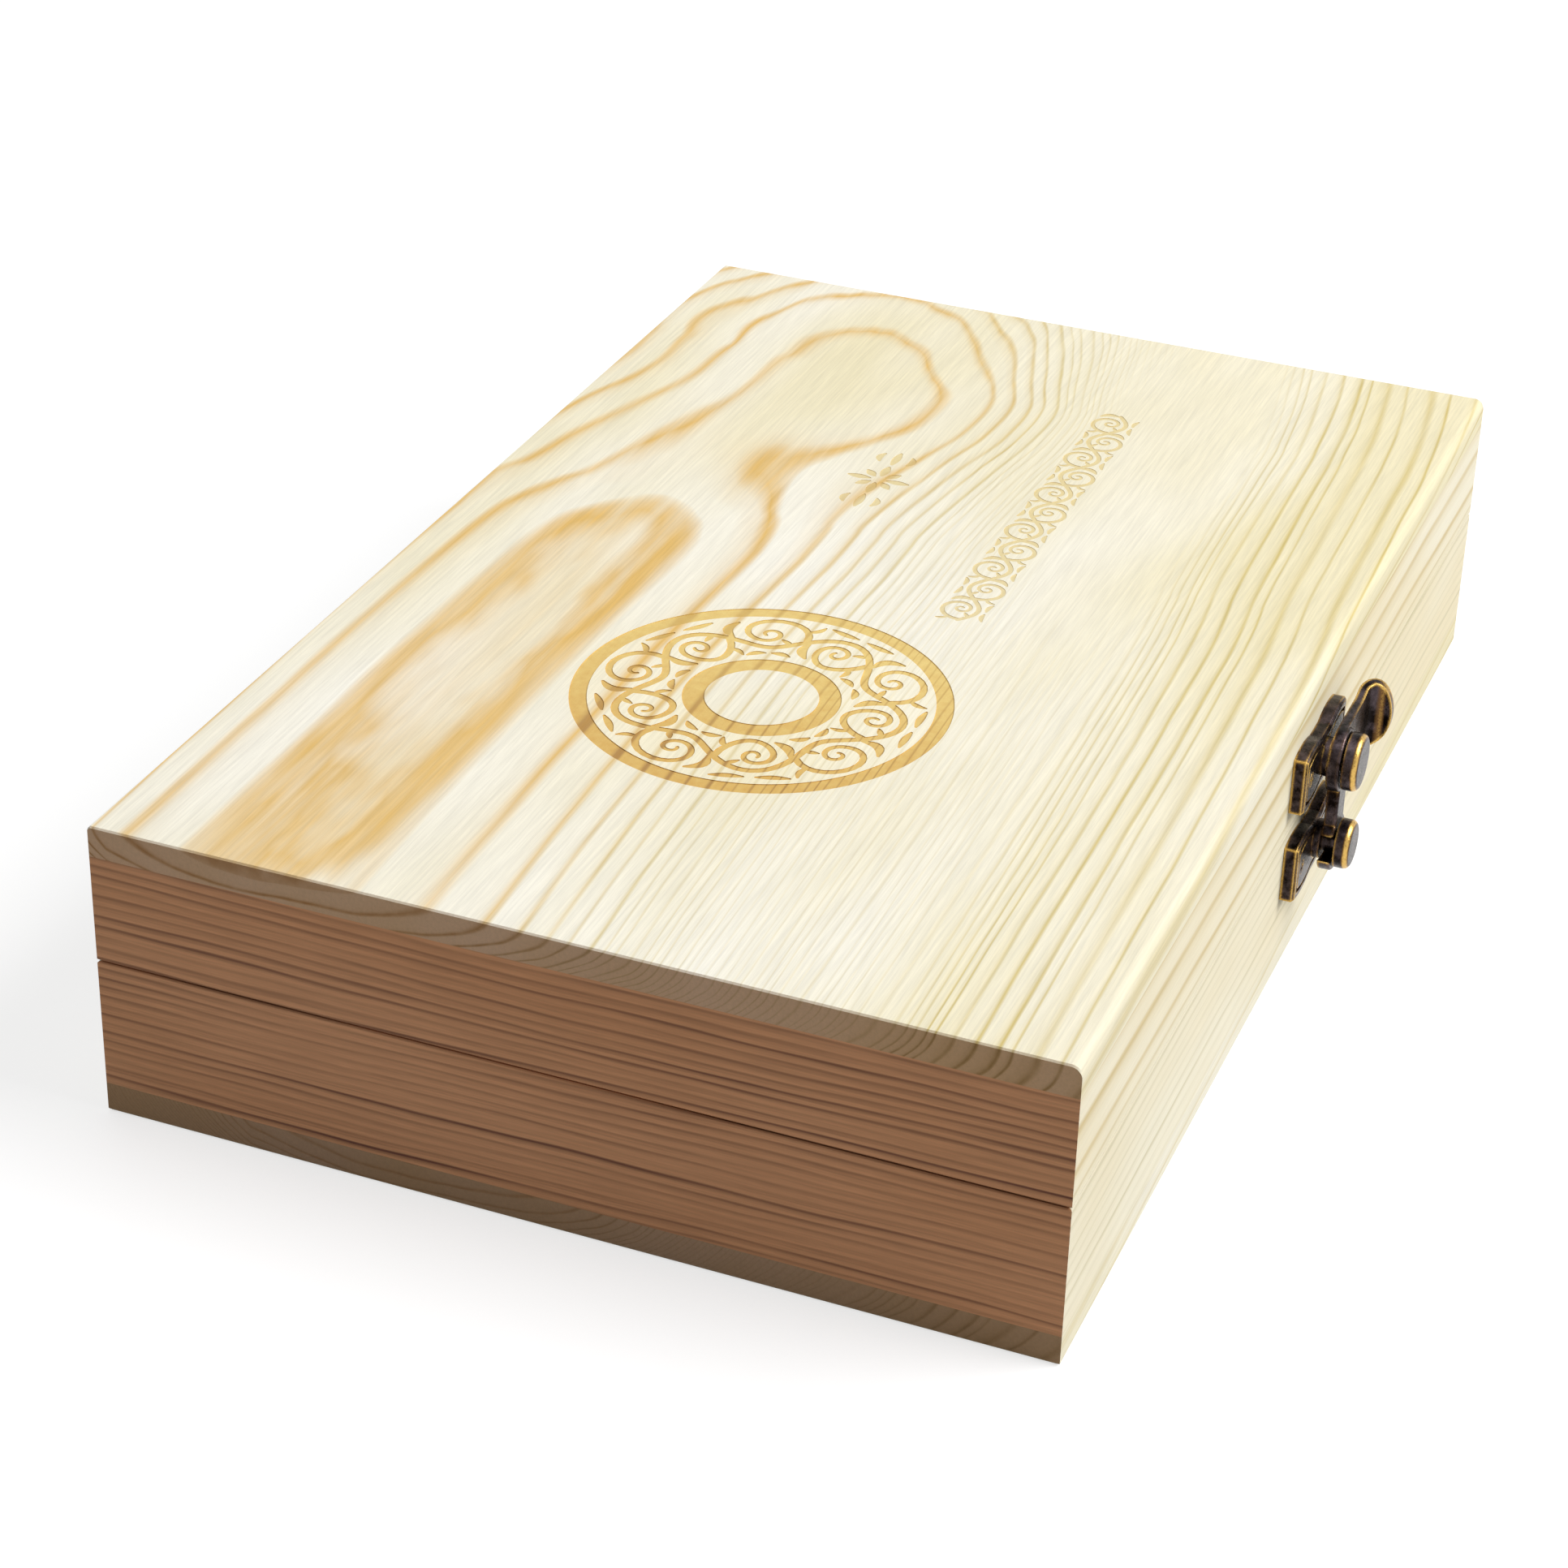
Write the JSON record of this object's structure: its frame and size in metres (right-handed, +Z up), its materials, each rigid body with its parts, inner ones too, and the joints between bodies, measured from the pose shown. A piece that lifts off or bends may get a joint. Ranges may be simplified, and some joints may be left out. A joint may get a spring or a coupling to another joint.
{
  "type": "coin display case",
  "caption": "Flat rectangular pine case with a hinged lid, a swing-hook latch and a foam tray of round recesses for coin capsules.",
  "frame": {"origin": "centre of the underside of the wooden box, which is where it stands", "axes": "+X along the case's length, to the right of someone facing the latch; +Y towards the hinges; +Z up"},
  "size_m": [0.28, 0.193, 0.0587],
  "materials": {
    "pine": "satin",
    "black_foam": "matte",
    "sponge": "matte",
    "aged_bronze": "satin",
    "hinge_bronze": "satin",
    "screw_brass": "satin"
  },
  "bodies": {
    "base": {"base_front_rail": "pine", "base_back_rail": "pine", "base_left_rail": "pine", "base_right_rail": "pine", "base_bottom_panel": "pine", "foam_riser": "black_foam", "foam_tray": "black_foam", "hinge_left_base_leaf": "hinge_bronze", "hinge_right_base_leaf": "hinge_bronze", "hinge_left_pin": "hinge_bronze", "hinge_right_pin": "hinge_bronze", "base_hinge_screws": "screw_brass", "latch_catch_plate": "aged_bronze", "latch_catch_post": "aged_bronze", "latch_catch_screws": "screw_brass"},
    "lid": {"lid_front_rail": "pine", "lid_back_rail": "pine", "lid_left_rail": "pine", "lid_right_rail": "pine", "lid_top_panel": "pine", "lid_pad": "sponge", "hinge_left_lid_leaf": "hinge_bronze", "hinge_right_lid_leaf": "hinge_bronze", "lid_hinge_screws": "screw_brass", "latch_pivot_plate": "aged_bronze", "latch_pivot_post": "aged_bronze", "latch_pivot_screws": "screw_brass"},
    "hook": {"latch_hook": "aged_bronze"}
  },
  "joints": [
    {"name": "lid_hinge", "type": "hinge", "parent": "base", "child": "lid", "pos_m": [0, 0.0913, 0.03155], "axis": [-1, 0, 0], "range_deg": [0, 180]},
    {"name": "hook_turn", "type": "hinge", "parent": "lid", "child": "hook", "pos_m": [0.002, -0.0947, 0.04205], "axis": [0, -1, 0], "range_deg": [0, 90]}
  ]
}
